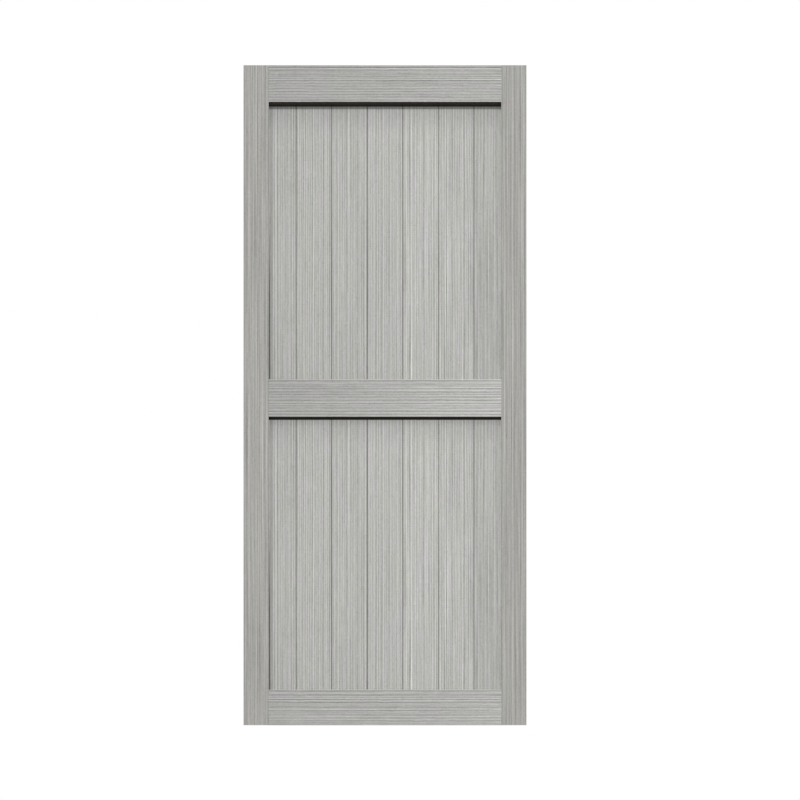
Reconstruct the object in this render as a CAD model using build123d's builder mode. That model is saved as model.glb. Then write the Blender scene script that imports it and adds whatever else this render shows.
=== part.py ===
from build123d import *
import os
from math import ceil

# A sliding barn door leaf, as it hangs on its track: two full-height stiles, three rails
# tongued between them, and two fields of upright tongue-and-groove planks held loose in
# the frame's grooves. X is the width, the front face looks along -Y, Z is up, and the
# origin is the centre of the top edge. Millimetres.

# Slab
door_width = 914.4
door_height = 2133.6
door_thickness = 35.0
arris = 1.0

# Frame members
stile_width = 81.0
top_rail_height = 119.0
middle_rail_height = 121.0
bottom_rail_height = 115.0
middle_rail_lift = 997.0

# Groove ploughed along every inner edge of the frame, and the tongues that go into it
groove_width = 8.4
groove_depth = 12.0
cheek_clearance = 0.2
tenon_end_clearance = 0.5

# Planks
plank_thickness = 15.0
plank_cover = 115.0
plank_face_gap = 0.7
plank_chamfer = 1.6
stile_shoulder_gap = 1.0
side_tongue_thickness = 4.0
side_tongue_length = 6.0
side_tongue_clearance = 0.2
side_tongue_end_clearance = 0.5
end_tongue_clearance = 2.0
upper_shoulder_gap = 14.0
lower_shoulder_gap = 8.5

# Joint screws, two through each stile into the end of each rail
screw_spacing = 55.0
screw_length = 120.0
screw_diameter = 6.0
screw_hole_diameter = 6.4
screw_tip_clearance = 4.0
head_diameter = 12.0
head_height = 4.0
head_chamfer = 0.6
head_sink = 3.0
counterbore_diameter = 13.0
socket_across_flats = 5.0
socket_depth = 2.5

# Groove in the bottom edge that runs over the guide on the floor
guide_groove_width = 10.0
guide_groove_depth = 16.0

# Levels and lines that the pieces share
door_top = 0.0
door_foot = door_top - door_height
opening_half_width = door_width / 2 - stile_width
rail_length = 2 * opening_half_width
tongue_thickness = groove_width - 2 * cheek_clearance
tenon_length = groove_depth - tenon_end_clearance
end_tongue_length = groove_depth - end_tongue_clearance
top_rail_underside = door_top - top_rail_height
middle_rail_underside = door_foot + middle_rail_lift
middle_rail_top = middle_rail_underside + middle_rail_height
bottom_rail_top = door_foot + bottom_rail_height
cut_margin = 10.0

# Each rail: its name, its lower and upper edge, and the cuts that those edges carry
rails = [
    ("top_rail", top_rail_underside, door_top, groove_depth, 0.0),
    ("middle_rail", middle_rail_underside, middle_rail_top, groove_depth, groove_depth),
    ("bottom_rail", door_foot, bottom_rail_top, guide_groove_depth, groove_depth),
]


def screw_levels(lower, upper, lower_cut, upper_cut):
    """Heights of the screws into one rail, on the solid wood between its two cut edges."""
    middle = (lower + lower_cut + upper - upper_cut) / 2
    return [middle + screw_spacing / 2, middle - screw_spacing / 2]


def edge_plane(side, inset, level):
    """Plane square to X, looking out of one side of the door, at an inset from that side."""
    return Plane(origin=(side * (door_width / 2 - inset), 0, level), z_dir=(side, 0, 0))


with BuildSketch(Plane.XY.offset(door_foot)) as guide_groove_plan:
    Rectangle(door_width + cut_margin, guide_groove_width)


def make_stile(side):
    """Full-height stile: grooved down its inner edge, counterbored from its outer edge."""
    levels = [z for _, *edges in rails for z in screw_levels(*edges)]
    inner_align = Align.MIN if side > 0 else Align.MAX
    with BuildPart() as stile:
        with BuildSketch(Plane.XY.offset(door_foot)) as section:
            with Locations((side * (door_width - stile_width) / 2, 0)):
                Rectangle(stile_width, door_thickness)
            chamfer(section.vertices(), arris)
            with Locations((side * opening_half_width, 0)):
                Rectangle(groove_depth, groove_width, align=(inner_align, Align.CENTER),
                          mode=Mode.SUBTRACT)
        extrude(amount=door_height)
        with Locations(*[edge_plane(side, 0, z).location for z in levels]):
            CounterBoreHole(screw_hole_diameter / 2, counterbore_diameter / 2,
                            head_sink + head_height, depth=stile_width)
        extrude(guide_groove_plan.sketch, amount=guide_groove_depth, mode=Mode.SUBTRACT)
    return stile


def make_rail(lower, upper, lower_cut, upper_cut):
    """Rail between the stiles, with a stub tenon at each end that fills the stile's groove."""
    height = upper - lower
    full_length = rail_length + 2 * tenon_length
    screw_reach = head_sink + head_height + screw_length + screw_tip_clearance
    tenon_inset = stile_width - tenon_length
    with BuildPart() as rail:
        with BuildSketch(Plane.YZ.offset(-rail_length / 2)) as section:
            with Locations((0, lower)):
                Rectangle(door_thickness, height, align=(Align.CENTER, Align.MIN))
            chamfer(section.vertices(), arris)
        extrude(amount=rail_length)
        with BuildSketch(Plane.YZ.offset(-full_length / 2)):
            with Locations((0, lower)):
                Rectangle(tongue_thickness, height, align=(Align.CENTER, Align.MIN))
        extrude(amount=full_length)
        with BuildSketch(Plane.YZ.offset(-full_length / 2)):
            if upper < door_top:
                with Locations((0, upper)):
                    Rectangle(groove_width, upper_cut, align=(Align.CENTER, Align.MAX))
            if lower > door_foot:
                with Locations((0, lower)):
                    Rectangle(groove_width, lower_cut, align=(Align.CENTER, Align.MIN))
        extrude(amount=full_length, mode=Mode.SUBTRACT)
        ends = [edge_plane(side, tenon_inset, z).location for side in (-1, 1)
                for z in screw_levels(lower, upper, lower_cut, upper_cut)]
        with Locations(*ends):
            Hole(screw_hole_diameter / 2, depth=screw_reach - tenon_inset)
        if lower == door_foot:
            extrude(guide_groove_plan.sketch, amount=guide_groove_depth, mode=Mode.SUBTRACT)
    return rail


def make_plank(left, right, foot, head, shoulder_gap):
    """Upright plank: V-jointed tongue and groove at its sides, a rebated tongue at each end.

    left and right are the joint lines that it lies between. At a stile, its side has the
    frame's thicker tongue instead. It stands on its lower shoulders, and its upper ones
    stop short of the rail, where the bare tongue shows.
    """
    at_left_stile = left <= -opening_half_width
    at_right_stile = right >= opening_half_width
    face_left = left + (stile_shoulder_gap if at_left_stile else plank_face_gap / 2)
    face_right = right - (stile_shoulder_gap if at_right_stile else plank_face_gap / 2)
    side_groove_width = side_tongue_thickness + 2 * side_tongue_clearance
    side_groove_depth = side_tongue_length + side_tongue_end_clearance
    stile_tongue_length = stile_shoulder_gap + tenon_length
    with BuildPart() as plank:
        with BuildSketch(Plane.XY.offset(foot - end_tongue_length)) as section:
            with Locations((face_left, 0)):
                Rectangle(face_right - face_left, plank_thickness, align=(Align.MIN, Align.CENTER))
            if not at_left_stile:
                chamfer(section.vertices().group_by(Axis.X)[0], plank_chamfer)
            if not at_right_stile:
                chamfer(section.vertices().group_by(Axis.X)[-1], plank_chamfer)
            with Locations((face_left, 0)):
                if at_left_stile:
                    Rectangle(stile_tongue_length, tongue_thickness, align=(Align.MAX, Align.CENTER))
                else:
                    Rectangle(side_groove_depth, side_groove_width, align=(Align.MIN, Align.CENTER),
                              mode=Mode.SUBTRACT)
            with Locations((face_right, 0)):
                if at_right_stile:
                    Rectangle(stile_tongue_length, tongue_thickness, align=(Align.MIN, Align.CENTER))
                else:
                    Rectangle(side_tongue_length + plank_face_gap, side_tongue_thickness,
                              align=(Align.MIN, Align.CENTER))
        extrude(amount=head - foot + 2 * end_tongue_length)
        for shoulder, reach in ((foot, -end_tongue_length),
                                (head - shoulder_gap, shoulder_gap + end_tongue_length)):
            with BuildSketch(Plane.XY.offset(shoulder)):
                Rectangle(door_width, door_thickness)
                Rectangle(door_width, tongue_thickness, mode=Mode.SUBTRACT)
            extrude(amount=reach, mode=Mode.SUBTRACT)
    return plank


def make_screw(side, level):
    """Joint screw: flat head on the floor of its counterbore, plain shank, hexagon socket."""
    seat = edge_plane(side, head_sink + head_height, level)
    outward = Axis(seat.origin, seat.z_dir)
    with BuildPart() as screw:
        with BuildSketch(seat):
            Circle(head_diameter / 2)
        extrude(amount=head_height)
        chamfer(screw.faces().sort_by(outward)[-1].edges(), head_chamfer)
        with BuildSketch(seat.offset(-screw_length)):
            Circle(screw_diameter / 2)
        extrude(amount=screw_length)
        with BuildSketch(seat.offset(head_height)):
            RegularPolygon(socket_across_flats / 2, 6, major_radius=False)
        extrude(amount=-socket_depth, mode=Mode.SUBTRACT)
    return screw


def joint_lines():
    """Joint lines of a field: whole planks set out from the centre, the rest at the stiles."""
    whole_planks = ceil(rail_length / plank_cover) - 2
    inner = [(i - whole_planks / 2) * plank_cover for i in range(whole_planks + 1)]
    return [-opening_half_width, *inner, opening_half_width]


def save(piece, label):
    piece.part.label = label
    export_step(piece.part, f"parts/{label}.step")


os.makedirs("parts", exist_ok=True)

sides = [("left", -1), ("right", 1)]

for side_name, side in sides:
    save(make_stile(side), f"{side_name}_stile")

for rail_name, *edges in rails:
    save(make_rail(*edges), rail_name)

fields = [
    ("upper", middle_rail_top, top_rail_underside, upper_shoulder_gap),
    ("lower", bottom_rail_top, middle_rail_underside, lower_shoulder_gap),
]
for field_name, foot, head, shoulder_gap in fields:
    lines = joint_lines()
    for number, (left, right) in enumerate(zip(lines, lines[1:]), start=1):
        save(make_plank(left, right, foot, head, shoulder_gap), f"{field_name}_plank_{number}")

for side_name, side in sides:
    for rail_name, *edges in rails:
        rail_place = rail_name.removesuffix("_rail")
        for number, level in enumerate(screw_levels(*edges), start=1):
            save(make_screw(side, level), f"{side_name}_{rail_place}_screw_{number}")
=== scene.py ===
import math

import bmesh
import bpy
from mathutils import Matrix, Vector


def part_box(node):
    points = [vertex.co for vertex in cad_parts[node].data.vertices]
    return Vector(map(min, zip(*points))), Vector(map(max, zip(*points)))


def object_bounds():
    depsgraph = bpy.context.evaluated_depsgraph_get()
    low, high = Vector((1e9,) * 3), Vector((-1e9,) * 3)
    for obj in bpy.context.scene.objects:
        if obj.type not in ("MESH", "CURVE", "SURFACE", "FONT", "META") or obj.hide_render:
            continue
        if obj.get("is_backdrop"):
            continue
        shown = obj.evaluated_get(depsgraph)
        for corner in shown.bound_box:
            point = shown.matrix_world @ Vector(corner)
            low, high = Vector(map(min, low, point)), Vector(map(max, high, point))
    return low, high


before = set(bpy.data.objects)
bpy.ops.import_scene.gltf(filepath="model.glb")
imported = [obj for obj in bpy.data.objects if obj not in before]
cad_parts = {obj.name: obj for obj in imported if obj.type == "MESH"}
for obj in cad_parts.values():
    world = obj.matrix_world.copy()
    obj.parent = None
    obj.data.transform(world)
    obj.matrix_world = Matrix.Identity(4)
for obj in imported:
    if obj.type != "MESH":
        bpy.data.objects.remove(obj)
cad_low, cad_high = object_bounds()

# The viewpoint: square to the front face and without perspective, as a catalogue shows a
# door leaf. The leaf hangs a little left of the picture's middle and a little above it.
picture_width = 2.5863
leaf_left_of_middle = 0.0485
leaf_above_middle = 0.0155
camera_distance = 6.0

leaf_middle_z = (cad_low.z + cad_high.z) / 2
camera = bpy.data.objects.new("camera", bpy.data.cameras.new("camera"))
camera.data.type = "ORTHO"
camera.data.ortho_scale = picture_width
camera.location = (leaf_left_of_middle, -camera_distance, leaf_middle_z - leaf_above_middle)
camera.rotation_euler = (math.radians(90), 0, 0)
bpy.context.scene.collection.objects.link(camera)
bpy.context.scene.camera = camera

# Stiles. Two uprights of brown fibreboard, moulded and then wrapped lengthwise in one sheet
# of grey film, printed and embossed with straight wood grain. Only the sawn ends, the
# grooves ploughed after wrapping and the counterbores show the bare board.
stile_grey = (0.400, 0.395, 0.372)
stile_violet = (0.405, 0.397, 0.378)
board_brown = (0.170, 0.140, 0.092)
film_roughness = 0.52
board_roughness = 0.90
emboss_depth = 0.00016
emboss_strength = 0.6
sawn_skin = 0.0001

# The cuts that show the board, a little larger than the CAD's own.
frame_groove_half = 0.00425
frame_groove_depth = 0.0121
guide_groove_half = 0.0051
guide_groove_top = cad_low.z + 0.0161
counterbore_radius = 0.0066

# The inner arris is painted paler, a painted highlight that lifts the shade of the gap beside it, and the
# left stile is darker along its outer edge.
arris = 0.00105
arris_light = 0.45
outer_shade_start = 0.0090
outer_shade_full = 0.0015

# Each stile's strip of the print: its seed, the pitch of its lines, how strong they are,
# and how dark its outer edge is.
stile_prints = {"left": (3.0, 0.0084, 0.110, 0.22), "right": (51.0, 0.0092, 0.125, 0.0)}

# Growth rings are waves whose phase drifts, with a finer wave on top. Their strength
# changes across the board. The pitches of both changes are counted in rings.
ring_drift = 7.0
ring_drift_pitch = 2.3
ring_edge = 0.35
ring_strength = 0.85
ring_change = 1.5
ring_change_pitch = 1.9
ring_change_step = 61.3

# Lines that run the whole length of a board: their pitch, and the step in the seed that
# keeps their noise apart from the others'.
fine_ring_pitch = 0.0026
fine_ring_step = 9.1
coarse_ring_step = 7.3
hair_pitch = 0.0011
hair_step = 11.9

# Streaks: the width and length of each kind, and its own step in the seed.
streak_sizes = {
    "wander": (0.120, 0.45, 3.1),
    "ripple": (0.040, 0.045, 4.7),
    "swell": (0.020, 0.60, 5.7),
    "fibres": (0.0036, 0.34, 13.1),
    "dashes": (0.0036, 0.060, 17.3),
    "flecks": (0.0032, 0.012, 19.7),
    "breaks": (0.0013, 0.045, 23.9),
    "threads": (0.00042, 0.020, 25.3),
    "pits": (0.00036, 0.0075, 27.1),
    "clouds": (0.060, 0.70, 29.3),
    "rubs": (0.090, 0.130, 43.1),
}

# How far their noise mostly strays from zero, how much the swell changes the rings, and
# how strong the flecks are beside the dashes.
noise_reach = 0.25
swell_strength = 1.2
fleck_share = 0.8

# How much each kind of mark lightens the film, and how high it stands in the embossing.
mark_tones = {"fine": 0.07, "hairs": 0.16, "breaks": 0.18, "threads": 0.24, "pores": -0.26}
mark_heights = {"hairs": 0.6, "breaks": 0.8, "threads": 0.9, "rings": 0.15, "pores": -0.9}

# Pores open where the pits are deep, mostly between the rings.
pits_by_rings = 0.015
pore_start = 0.17
pore_full = 0.24

# The film turns from grey to violet in long patches with short ones among them.
tint_length = 0.22
tint_step = 31.7
patch_share = 0.6
patch_length = 0.05
patch_step = 37.9
tint_start = 0.02
tint_full = 0.18

# How rough the marks make the film: rings shine a little, pores are dull, and rubbed
# places are now one and now the other.
ring_roughness = -0.04
pore_roughness = 0.10
rub_roughness = 0.14

# The bare board is fine fuzz, felted in softer patches.
fuzz_scale = 1300.0
fuzz_strength = 1.1
felt_scale = 260.0
felt_strength = 0.35


class Socket:
    """A shader value that is added, multiplied and compared like a number."""

    def __init__(self, finish, output):
        self.finish = finish
        self.output = output

    def maths(self, operation, first, second=0.0):
        return self.finish.node("ShaderNodeMath", {"operation": operation}, {0: first, 1: second})

    def __add__(self, other):
        return self.maths("ADD", self, other)

    def __radd__(self, other):
        return self.maths("ADD", other, self)

    def __sub__(self, other):
        return self.maths("SUBTRACT", self, other)

    def __rsub__(self, other):
        return self.maths("SUBTRACT", other, self)

    def __mul__(self, other):
        return self.maths("MULTIPLY", self, other)

    def __rmul__(self, other):
        return self.maths("MULTIPLY", other, self)

    def __truediv__(self, other):
        return self.maths("DIVIDE", self, other)

    def __abs__(self):
        return self.maths("ABSOLUTE", self)

    def __lt__(self, other):
        return self.maths("LESS_THAN", self, other)

    def __gt__(self, other):
        return self.maths("GREATER_THAN", self, other)

    def __or__(self, other):
        return self.maths("MAXIMUM", self, other)

    def __and__(self, other):
        return self.maths("MINIMUM", self, other)


class Finish:
    """The nodes of one material, or of the room's light."""

    def __init__(self, owner):
        owner.use_nodes = True
        self.owner = owner
        self.tree = owner.node_tree

    def put(self, slot, value):
        """Gives one input a number, a colour or a link."""
        if isinstance(value, Socket):
            self.tree.links.new(value.output, slot)
        else:
            slot.default_value = value

    def node(self, kind, settings, values, *outputs):
        """Adds a node: its settings first, then its inputs. Returns the outputs asked for."""
        made = self.tree.nodes.new(kind)
        for name, setting in settings.items():
            setattr(made, name, setting)
        for name, value in values.items():
            self.put(made.inputs[name], value)
        sockets = [Socket(self, made.outputs[name]) for name in outputs or (0,)]
        return sockets if len(sockets) > 1 else sockets[0]

    def place(self):
        """Where a point is on the leaf, as a vector and as its X, Y and Z."""
        here = self.node("ShaderNodeTexCoord", {}, {}, "Object")
        return here, *self.node("ShaderNodeSeparateXYZ", {}, {0: here}, "X", "Y", "Z")

    def surface(self, **values):
        """Sets inputs of the material's own surface shader."""
        for name, value in values.items():
            self.put(self.tree.nodes["Principled BSDF"].inputs[name.replace("_", " ")], value)

    def blend(self, share, first, second):
        """Mixes two colours."""
        return self.node("ShaderNodeMix", {"data_type": "RGBA"}, {0: share, 6: first, 7: second}, 2)

    def dim(self, colour, share):
        """Scales a colour."""
        return self.node("ShaderNodeVectorMath", {"operation": "SCALE"}, {0: colour, "Scale": share})

    def ramp(self, value, low, high):
        """Rises smoothly from 0 to 1 as the value goes from low to high."""
        return self.node("ShaderNodeMapRange", {"interpolation_type": "SMOOTHSTEP"},
                         {"Value": value, "From Min": low, "From Max": high})

    def sine(self, phase):
        return self.node("ShaderNodeMath", {"operation": "SINE"}, {0: phase})

    def cloudy(self, spot, scale, detail):
        """Even noise, the same in every direction, about zero."""
        return self.node("ShaderNodeTexNoise", {}, {"Vector": spot, "Scale": scale, "Detail": detail}) - 0.5

    def lines(self, across, pitch, seed):
        """Noise across the grain alone: each line runs the whole length of the board."""
        return self.node("ShaderNodeTexNoise", {"noise_dimensions": "1D"},
                         {"W": across / pitch + seed, "Scale": 1.0, "Detail": 0.0}) - 0.5

    def rings(self, across, pitch, seed):
        """Growth rings seen on their edge: lines at about this pitch, unevenly strong."""
        drift = self.lines(across, pitch * ring_drift_pitch, seed) * ring_drift
        phase = across * (2 * math.pi / pitch) + drift
        wave = self.sine(phase) + self.sine(phase * 2.0) * ring_edge
        change = self.lines(across, pitch * ring_change_pitch, seed + ring_change_step) * ring_change
        return wave * (change + ring_strength)

    def streaks(self, across, along, width, length, seed):
        """Noise drawn out along the grain, in streaks of about this width and length."""
        spot = self.node("ShaderNodeCombineXYZ", {}, {0: across / width + seed, 1: along / length + seed})
        return self.node("ShaderNodeTexNoise", {"noise_dimensions": "2D"},
                         {"Vector": spot, "Scale": 1.0, "Detail": 0.0}) - 0.5

    def marks(self, kind, across, along, seed):
        """One kind of the print's streaks."""
        width, length, step = streak_sizes[kind]
        return self.streaks(across, along, width, length, seed + step)


def opaque(colour, tone=1.0):
    return (*(c * tone for c in colour), 1.0)


def around(across, depth, middle, half, back_shift=0.35):
    """Distance across the grain, carried on round a board's arrises over its edges.

    The print is shifted with depth, so that the back's isn't the front's seen through.
    """
    outward = (across < middle) * 2.0 - 1.0
    return across + (abs(depth) - half) * outward + (depth + half) * back_shift - half


def darken(shade, share):
    """Takes this share of the film's tone away, for print and for painted shade. A negative share makes it
    paler, as painted light.
    """
    return (1.0 - share) * shade


def wrap_in_film(finish, here, across, along, bare, seed, grey, violet, *, pitch, coarse_pitch,
                 long_grain, coarse_grain, streak_grain, short_grain, bands, tint_width, shade,
                 core_painted_shade=1.0, wander=0.0006, ripple=0.0):
    """Lays the printed film over a board, and leaves the bare core where the mask says. The shade and the
    core's painted shade scale the film's and the core's tones, carrying painted shade and light where the
    callers give them.
    """
    across = (across + finish.marks("wander", across, along, seed) * (wander / noise_reach)
              + finish.marks("ripple", across, along, seed) * (ripple / noise_reach))
    rings = finish.rings(across, pitch, seed)
    coarse = finish.rings(across, coarse_pitch, seed + coarse_ring_step)
    pits = finish.marks("pits", across, along, seed) - rings * pits_by_rings
    marks = {"rings": rings,
             "fine": finish.rings(across, fine_ring_pitch, seed + fine_ring_step),
             "hairs": finish.lines(across, hair_pitch, seed + hair_step),
             "breaks": finish.marks("breaks", across, along, seed),
             "threads": finish.marks("threads", across, along, seed),
             "pores": finish.ramp(pits, pore_start, pore_full)}

    swell = finish.marks("swell", across, along, seed) * swell_strength + 1.0
    short = (finish.marks("dashes", across, along, seed)
             + finish.marks("flecks", across, along, seed) * fleck_share)
    tone = ((rings * long_grain + coarse * coarse_grain) * swell + 1.0
            + finish.marks("fibres", across, along, seed) * streak_grain + short * short_grain
            + finish.marks("clouds", across, along, seed) * bands)
    tone = sum((marks[kind] * weight for kind, weight in mark_tones.items()), tone) * shade
    tint = (finish.streaks(across, along, tint_width, tint_length, seed + tint_step)
            + finish.streaks(across, along, tint_width * patch_share, patch_length,
                             seed + patch_step) * patch_share)
    film = finish.dim(finish.blend(finish.ramp(tint, tint_start, tint_full), grey, violet), tone)

    fuzz = finish.cloudy(here, fuzz_scale, 2.0)
    felt = finish.cloudy(here, felt_scale, 1.0)
    core = finish.dim(board_brown, (fuzz * fuzz_strength + felt * felt_strength + 1.0) * core_painted_shade)
    finish.surface(Base_Color=finish.blend(bare, film, core))

    wrapped = 1.0 - bare
    roughness = (film_roughness + rings * ring_roughness + marks["pores"] * pore_roughness
                 + finish.marks("rubs", across, along, seed) * rub_roughness)
    finish.surface(Roughness=roughness * wrapped + bare * board_roughness)
    relief = sum(marks[kind] * weight for kind, weight in mark_heights.items())
    finish.surface(Normal=finish.node("ShaderNodeBump", {}, {
        "Strength": emboss_strength, "Distance": emboss_depth, "Height": relief * wrapped + fuzz * bare}))


def paint(node_name, finish):
    """Gives a CAD node its finish."""
    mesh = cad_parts[node_name].data
    mesh.materials.clear()
    mesh.materials.append(finish.owner)


screw_levels = [sum(corner.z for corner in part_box(f"left_{rail}_screw_{number}")) / 2
                for rail in ("top", "middle", "bottom") for number in (1, 2)]

for side, (seed, pitch, long_grain, outer_shade) in stile_prints.items():
    finish = Finish(bpy.data.materials.new(f"{side}_stile_film"))
    here, x, y, z = finish.place()
    low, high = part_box(f"{side}_stile")
    inner = high.x if side == "left" else -low.x
    inward = x if side == "left" else x * -1.0
    bare = (abs(y) < frame_groove_half) & (inward > inner - frame_groove_depth)
    bare = bare | (z > high.z - sawn_skin) | (z < low.z + sawn_skin)
    bare = bare | ((abs(y) < guide_groove_half) & (z < guide_groove_top))
    for level in screw_levels:
        rise = z - level
        bare = bare | ((y * y + rise * rise) < counterbore_radius ** 2)
    # Painted highlight on the inner arris.
    on_arris = (abs(y) > high.y - arris) & (inward > inner - arris)
    outer_edge = finish.ramp(x, low.x + outer_shade_start, low.x + outer_shade_full)
    shade = darken(on_arris * arris_light + 1.0, outer_edge * outer_shade)
    print_x = around(x, y, (low.x + high.x) / 2, high.y)
    wrap_in_film(finish, here, print_x, z, bare, seed, opaque(stile_grey), opaque(stile_violet),
                 pitch=pitch, coarse_pitch=0.0135, long_grain=long_grain, coarse_grain=0.055,
                 streak_grain=0.52, short_grain=0.12, bands=0.09, tint_width=0.030, shade=shade)
    paint(f"{side}_stile", finish)

# Rails. Three cross members wrapped in the same film with its grain across the leaf, a
# little paler than the stiles and faintly wavy. They butt between the stiles. Their stub
# tenons are bare, and so are the leaf's top and foot, trimmed after wrapping.
rail_grey = (0.417, 0.420, 0.400)
rail_violet = (0.422, 0.415, 0.408)
opening_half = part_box("right_stile")[0].x

# A darker band of the print runs just below each rail's upper edge.
band_start = 0.0046
band_full = 0.0040
band_end = 0.0009
band_shade = 0.18

# Each rail's strip of the print: its seed, its tone, how much paler it gets to the right,
# the pitches of its lines and how strong they are, how strong its streaks are, and how far
# its lines wander and ripple.
rail_prints = {
    "top_rail": (101.0, 1.0, 0.19, 0.0084, 0.0125, 0.205, 0.30, 0.00050, 0.00045),
    "middle_rail": (157.0, 1.075, 0.39, 0.0090, 0.0122, 0.215, 0.26, 0.00022, 0.00016),
    "bottom_rail": (103.0, 1.054, 0.19, 0.0084, 0.0125, 0.165, 0.28, 0.00050, 0.00045),
}

for name, print_values in rail_prints.items():
    seed, tone, drift, pitch, coarse_pitch, long_grain, streak_grain, wander, ripple = print_values
    finish = Finish(bpy.data.materials.new(f"{name}_film"))
    here, x, y, z = finish.place()
    low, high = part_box(name)
    if name == "bottom_rail":
        in_groove = (z < guide_groove_top) | (z > high.z - frame_groove_depth)
        groove_half = guide_groove_half
    else:
        in_groove = z < low.z + frame_groove_depth
        groove_half = frame_groove_half
    if name == "middle_rail":
        in_groove = in_groove | (z > high.z - frame_groove_depth)
    bare = ((abs(y) < groove_half) & in_groove) | (abs(x) > opening_half + sawn_skin)
    bare = bare | (z > cad_high.z - sawn_skin) | (z < cad_low.z + sawn_skin)
    band = finish.ramp(z, high.z - band_start, high.z - band_full) * (z < high.z - band_end)
    shade = darken(x * drift + 1.0, band * band_shade)
    print_z = around(z, y, (low.z + high.z) / 2, high.y)
    wrap_in_film(finish, here, print_z, x, bare, seed, opaque(rail_grey, tone), opaque(rail_violet, tone),
                 pitch=pitch, coarse_pitch=coarse_pitch, long_grain=long_grain, coarse_grain=0.09,
                 streak_grain=streak_grain, short_grain=0.22, bands=0.08, tint_width=0.060,
                 shade=shade, wander=wander, ripple=ripple)
    paint(name, finish)

# Planks. Two fields of upright boards of thinner fibreboard, wrapped in a paler film of the
# same grain, V-jointed at their sides. The end tongues are sawn after wrapping, so the
# strip that shows under each upper rail is bare.
plank_grey = (0.4745, 0.4775, 0.448)
plank_violet = (0.4845, 0.4795, 0.469)
plank_cover = 0.115
tongue_half = 0.0042
stile_gap = 0.0011
middle_plank = 4
first_seed = 201.0
seed_step = 17.0
coarse_share = 0.35

# Each plank's strip of the print: its tone, the pitches of its lines, how strong they are,
# and how strong its streaks are.
plank_prints = (
    (0.970, 0.0086, 0.0125, 0.147, 0.30),
    (1.013, 0.0071, 0.0118, 0.212, 0.22),
    (1.008, 0.0090, 0.0110, 0.163, 0.24),
    (1.040, 0.0087, 0.0110, 0.178, 0.24),
    (1.091, 0.0085, 0.0140, 0.163, 0.43),
    (1.057, 0.0071, 0.0115, 0.190, 0.50),
    (0.965, 0.0112, 0.0092, 0.100, 0.46),
)

# How dark the painted shade lies on the film in each V-joint, from the left stile to the right one, and how
# much that painted shade changes down the leaf.
vee_half = 0.00196
vee_shades = (0.06, 0.30, 0.30, 0.20, 0.06, 0.22)
vee_noise_strength = 1.2
vee_noise_width = 0.50
vee_noise_length = 0.30
vee_noise_seed = 71.0

# Each field: the bare strip over it, the rails that it stands between, the tone at its head, and how dark the
# painted shadow of the rail gets on the print below the strip, in its fade and on its very edge.
fields = (
    ("upper", 0.0140, "top_rail", "middle_rail", 1.022, 0.17, 0.80),
    ("lower", 0.0085, "middle_rail", "bottom_rail", 1.037, 0.13, 0.86),
)

# Each field gets paler up the leaf. Below the strip the print is darkened in a soft fade and on its very
# edge, a painted shadow of the rail above.
tone_rise = 0.062
head_fade = 0.110
head_edge_start = 0.0026
head_edge_full = 0.0012

# Below the upper strip there is also a wide dark line of painted shadow, cast by the rail above.
head_line_start = 0.0110
head_line_full = 0.0072
head_line_shade = 0.64

# Above the rail below, painted shade in the corner: a faint fade and a fine dark line.
foot_fade = 0.040
foot_fade_shade = 0.04
foot_line_start = 0.0065
foot_line_full = 0.0030
foot_line_shade = 0.08

# The outer planks get paler towards the stiles, painted light that offsets the shade the stiles' step casts
# on them.
stile_side_start = 0.0090
stile_side_full = 0.0010
stile_side_light = 0.42

# The first plank, measured from the left stile: a dark painted shadow line that opens down the field, a
# darker band of painted shade beside it, and a pale line beyond the band.
left_line_near = 0.0010
left_line_far = 0.0043
left_line_shade = 0.80
left_line_start = 0.30
left_line_full = 0.64
left_band_full = 0.0140
left_band_end = 0.0150
left_band_shade = 0.22
left_pale_full = 0.0160
left_pale_end = 0.0175
left_pale_light = 0.10

# The bare strip is painted dark, a painted shadow of the rail above it, darkest at both its edges. The lower
# edge's shares are of the strip's height. Below it, inside the joints, the board has nearly its full tone.
strip_tone = 0.36
strip_dark = 0.01
inner_tone = 0.98
strip_foot_start = 0.10
strip_foot_full = 0.70
strip_head_over = 0.0003
strip_head_full = 0.0036

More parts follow.
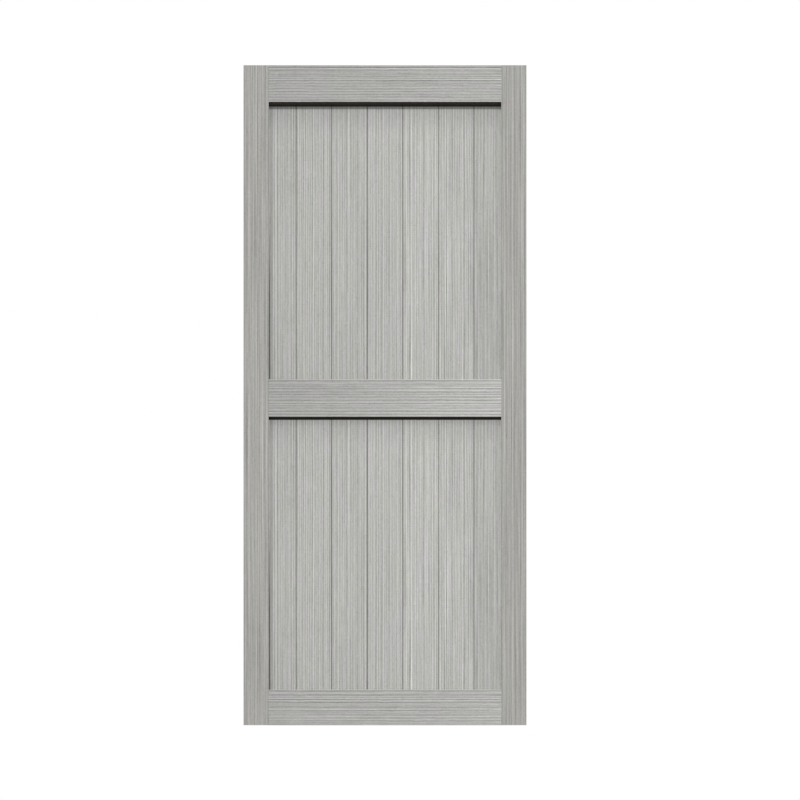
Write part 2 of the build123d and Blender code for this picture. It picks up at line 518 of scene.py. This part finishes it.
for field, bare_strip, rail_above, rail_below, head_tone, fade_shade, edge_shade in fields:
    strip_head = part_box(rail_above)[0].z
    head = strip_head - bare_strip
    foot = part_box(rail_below)[1].z
    for number, print_values in enumerate(plank_prints, start=1):
        tone, pitch, coarse_pitch, long_grain, streak_grain = print_values
        name = f"{field}_plank_{number}"
        finish = Finish(bpy.data.materials.new(f"{name}_film"))
        here, x, y, z = finish.place()
        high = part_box(name)[1]
        plank_middle = (number - middle_plank) * plank_cover
        bare = abs(y) < tongue_half
        if number in (1, len(plank_prints)):
            bare = bare & (abs(x) < opening_half - stile_gap)
        bare = bare | (z > head - sawn_skin)

        shade = (z - head) * tone_rise + head_tone
        # Painted shadow of the rail above, fading down from the strip.
        shade = darken(shade, finish.ramp(z, head - head_fade, head) * fade_shade)
        # Painted shade in the corner above the rail below.
        shade = darken(shade, finish.ramp(z, foot + foot_fade, foot) * foot_fade_shade
                       + finish.ramp(z, foot + foot_line_start, foot + foot_line_full) * foot_line_shade)
        # Painted shade in the V-joints, stronger in some places down the leaf than in others.
        vee_shade_noise = (finish.streaks(x, z, vee_noise_width, vee_noise_length, vee_noise_seed)
                     * vee_noise_strength + 1.0)
        for side, joint in ((-1, number - 2), (1, number - 1)):
            line = plank_middle + side * plank_cover / 2
            if abs(line) < opening_half:
                shade = darken(shade, (abs(x - line) < vee_half) * vee_shade_noise * vee_shades[joint])
        # Painted light beside the stiles.
        if number in (1, len(plank_prints)):
            stile_side = finish.ramp(abs(x), opening_half - stile_side_start, opening_half - stile_side_full)
            shade = darken(shade, stile_side * -stile_side_light)
        # Painted shadow beside the left stile.
        if number == 1:
            edge = x + opening_half
            left_line = (edge > left_line_near) * (edge < left_line_far)
            opened = finish.ramp(z, head - left_line_start, head - left_line_full)
            shade = darken(shade, left_line * opened * left_line_shade)
            band = (edge > left_line_far) * finish.ramp(edge, left_band_end, left_band_full)
            shade = darken(shade, band * left_band_shade)
            pale = (finish.ramp(edge, left_band_full, left_band_end)
                    * finish.ramp(edge, left_pale_end, left_pale_full))
            shade = darken(shade, pale * -left_pale_light)
        # Painted shadow: a wide dark line under the upper strip.
        if field == "upper":
            head_line = finish.ramp(z, head - head_line_start, head - head_line_full)
            shade = darken(shade, head_line * head_line_shade)
        # Painted shadow on the film's very edge under the strip.
        shade = darken(shade, finish.ramp(z, head - head_edge_start, head - head_edge_full) * edge_shade)

        # Painted shadow on the bare strip.
        strip_foot = finish.ramp(z, head + bare_strip * strip_foot_start, head + bare_strip * strip_foot_full)
        strip_lit = strip_foot * finish.ramp(z, strip_head + strip_head_over, strip_head - strip_head_full)
        core_painted_shade = strip_lit * strip_tone + strip_dark + (z < head - sawn_skin) * inner_tone
        wrap_in_film(finish, here, around(x, y, plank_middle, high.y), z - high.z, bare,
                     first_seed + seed_step * number, opaque(plank_grey, tone), opaque(plank_violet, tone),
                     pitch=pitch, coarse_pitch=coarse_pitch, long_grain=long_grain,
                     coarse_grain=long_grain * coarse_share, streak_grain=streak_grain, short_grain=0.16,
                     bands=0.06, tint_width=0.026, shade=shade, core_painted_shade=core_painted_shade)
        paint(name, finish)

# Joint screws. Zinc-plated steel with a flat turned head and a hexagon socket, sunk in the
# stiles' outer edges.
zinc_grey = (0.60, 0.60, 0.59)
zinc_roughness = 0.34
turning_width = 0.0004
turning_length = 0.0030
turning_seed = 5.0
turning_tone = 0.3
turning_roughness = 0.2

for side in ("left", "right"):
    finish = Finish(bpy.data.materials.new(f"{side}_screw_zinc"))
    here, x, y, z = finish.place()
    turning = finish.streaks(y, z, turning_width, turning_length, turning_seed)
    finish.surface(Base_Color=finish.dim(zinc_grey, turning * turning_tone + 1.0), Metallic=1.0,
                   Roughness=turning * turning_roughness + zinc_roughness)
    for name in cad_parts:
        if name.startswith(side) and "_screw_" in name:
            paint(name, finish)

# The studio: a plain pale floor just under the hanging leaf, rows of soft lamps high in
# front, weaker and lower ones behind, and even light all round.
floor_gap = 0.012
floor_half = 9.0
floor_seen = 0.579
floor_bounce = 0.277
room_light = 0.47
lamp_spread = 12.0

# Each lamp: how high it stands, how far to the side, both in degrees, and its strength.
front_lamps = ((38.0, -48.0, 0.73), (38.0, -17.0, 0.28), (38.0, 17.0, 0.28), (38.0, 48.0, 0.69),
               (68.0, -25.0, 0.65), (68.0, 25.0, 0.65))
back_lamps = ((22.0, -48.0, 0.50), (22.0, -17.0, 0.20), (22.0, 17.0, 0.20), (22.0, 48.0, 0.48))


def seen(finish):
    """1 for what the camera sees, straight, in gloss or through glass. 0 for light that bounces."""
    camera_ray, glossy_ray, clear_ray = finish.node("ShaderNodeLightPath", {}, {}, "Is Camera Ray",
                                                    "Is Glossy Ray", "Is Transmission Ray")
    return camera_ray | glossy_ray | clear_ray


floor_mesh = bmesh.new()
bmesh.ops.create_grid(floor_mesh, x_segments=1, y_segments=1, size=floor_half)
bmesh.ops.translate(floor_mesh, verts=floor_mesh.verts, vec=(0, 0, cad_low.z - floor_gap))
floor = bpy.data.objects.new("floor", bpy.data.meshes.new("floor"))
floor_mesh.to_mesh(floor.data)
floor_mesh.free()
bpy.context.scene.collection.objects.link(floor)
finish = Finish(bpy.data.materials.new("floor_paint"))
finish.surface(Base_Color=finish.blend(seen(finish), opaque((floor_bounce,) * 3), opaque((floor_seen,) * 3)),
               Roughness=1.0, Specular_IOR_Level=0.0)
floor.data.materials.append(finish.owner)
floor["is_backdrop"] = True

for facing, lamps in ((0.0, front_lamps), (180.0, back_lamps)):
    for elevation, azimuth, strength in lamps:
        lamp = bpy.data.objects.new("lamp", bpy.data.lights.new("lamp", "SUN"))
        lamp.data.energy = strength
        lamp.data.angle = math.radians(lamp_spread)
        lamp.rotation_euler = (math.radians(90.0 - elevation), 0, math.radians(facing + azimuth))
        bpy.context.scene.collection.objects.link(lamp)

room = Finish(bpy.data.worlds.new("room"))
white = opaque((1.0,) * 3)
dim_light = room.node("ShaderNodeBackground", {}, {"Color": white, "Strength": room_light})
seen_light = room.node("ShaderNodeBackground", {}, {"Color": white, "Strength": 1.0})
light = room.node("ShaderNodeMixShader", {}, {0: seen(room), 1: dim_light, 2: seen_light})
room.put(room.tree.nodes["World Output"].inputs["Surface"], light)
bpy.context.scene.world = room.owner
bpy.context.scene.view_settings.view_transform = "Standard"

low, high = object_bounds()
